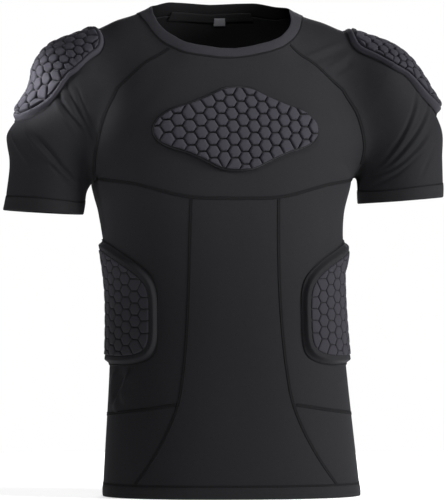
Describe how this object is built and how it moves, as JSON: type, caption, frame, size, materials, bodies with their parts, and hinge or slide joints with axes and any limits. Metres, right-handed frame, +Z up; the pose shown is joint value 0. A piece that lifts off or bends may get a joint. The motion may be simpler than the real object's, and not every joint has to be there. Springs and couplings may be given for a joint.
{
  "type": "hockey shoulder pads",
  "caption": "Short-sleeved padded compression shirt with quilted foam pads over the chest, back, shoulders and ribs.",
  "frame": {"origin": "centre of the hem opening, on the plane of the hem's lower edge", "axes": "+Z up to the neck, +X to the wearer's left, -Y to the front"},
  "size_m": [0.6218, 0.2558, 0.7027],
  "materials": {
    "body_knit": "matt stretch knit, near black with a faint purple-grey cast",
    "band_knit": "the same knit doubled, pressed flat",
    "pad_cover_knit": "matt stretch knit bonded over the foam",
    "foam_cells": "closed-cell foam, cut and pressed; fabric stands in for foam",
    "pad_backing": "thin moulded foam sheet; fabric stands in for foam",
    "thread": "polyester flatlock thread",
    "neck_tape": "woven twill tape",
    "label_satin": "woven satin label, left bare"
  },
  "bodies": {
    "torso": {"back_centre_panel": "body_knit", "back_pad_base": "pad_backing", "back_pad_cells": "foam_cells", "back_pad_cover": "pad_cover_knit", "back_pad_stitching": "thread", "back_yoke_seam": "thread", "chest_pad_base": "pad_backing", "chest_pad_cells": "foam_cells", "chest_pad_cover": "pad_cover_knit", "chest_pad_stitching": "thread", "chest_seam": "thread", "collar_band": "band_knit", "collar_seam": "thread", "front_centre_panel": "body_knit", "front_chest_panel": "body_knit", "hem_band": "band_knit", "hem_seam": "thread", "hip_seams": "thread", "left_hip_panel": "body_knit", "left_rib_pad_base": "pad_backing", "left_rib_pad_cells": "foam_cells", "left_rib_pad_cover": "pad_cover_knit", "left_rib_pad_stitching": "thread", "left_shoulder_section": "body_knit", "left_side_panel": "body_knit", "neck_tape": "neck_tape", "princess_seams": "thread", "raglan_seams": "thread", "right_hip_panel": "body_knit", "right_rib_pad_base": "pad_backing", "right_rib_pad_cells": "foam_cells", "right_rib_pad_cover": "pad_cover_knit", "right_rib_pad_stitching": "thread", "right_shoulder_section": "body_knit", "right_side_panel": "body_knit", "size_label": "label_satin", "upper_back_panel": "body_knit"},
    "left_sleeve": {"left_cuff": "band_knit", "left_cuff_seam": "thread", "left_shoulder_pad_base": "pad_backing", "left_shoulder_pad_cells": "foam_cells", "left_shoulder_pad_cover": "pad_cover_knit", "left_shoulder_pad_stitching": "thread", "left_sleeve": "body_knit", "left_underarm_seam": "thread"},
    "right_sleeve": {"right_cuff": "band_knit", "right_cuff_seam": "thread", "right_shoulder_pad_base": "pad_backing", "right_shoulder_pad_cells": "foam_cells", "right_shoulder_pad_cover": "pad_cover_knit", "right_shoulder_pad_stitching": "thread", "right_sleeve": "body_knit", "right_underarm_seam": "thread"}
  },
  "joints": [
    {"name": "left_sleeve_raise", "type": "hinge", "parent": "torso", "child": "left_sleeve", "pos_m": [0.164, 0, 0.661], "axis": [0, -1, 0], "range_deg": [0, 30]},
    {"name": "right_sleeve_raise", "type": "hinge", "parent": "torso", "child": "right_sleeve", "pos_m": [-0.164, 0, 0.661], "axis": [0, 1, 0], "range_deg": [0, 30]}
  ]
}
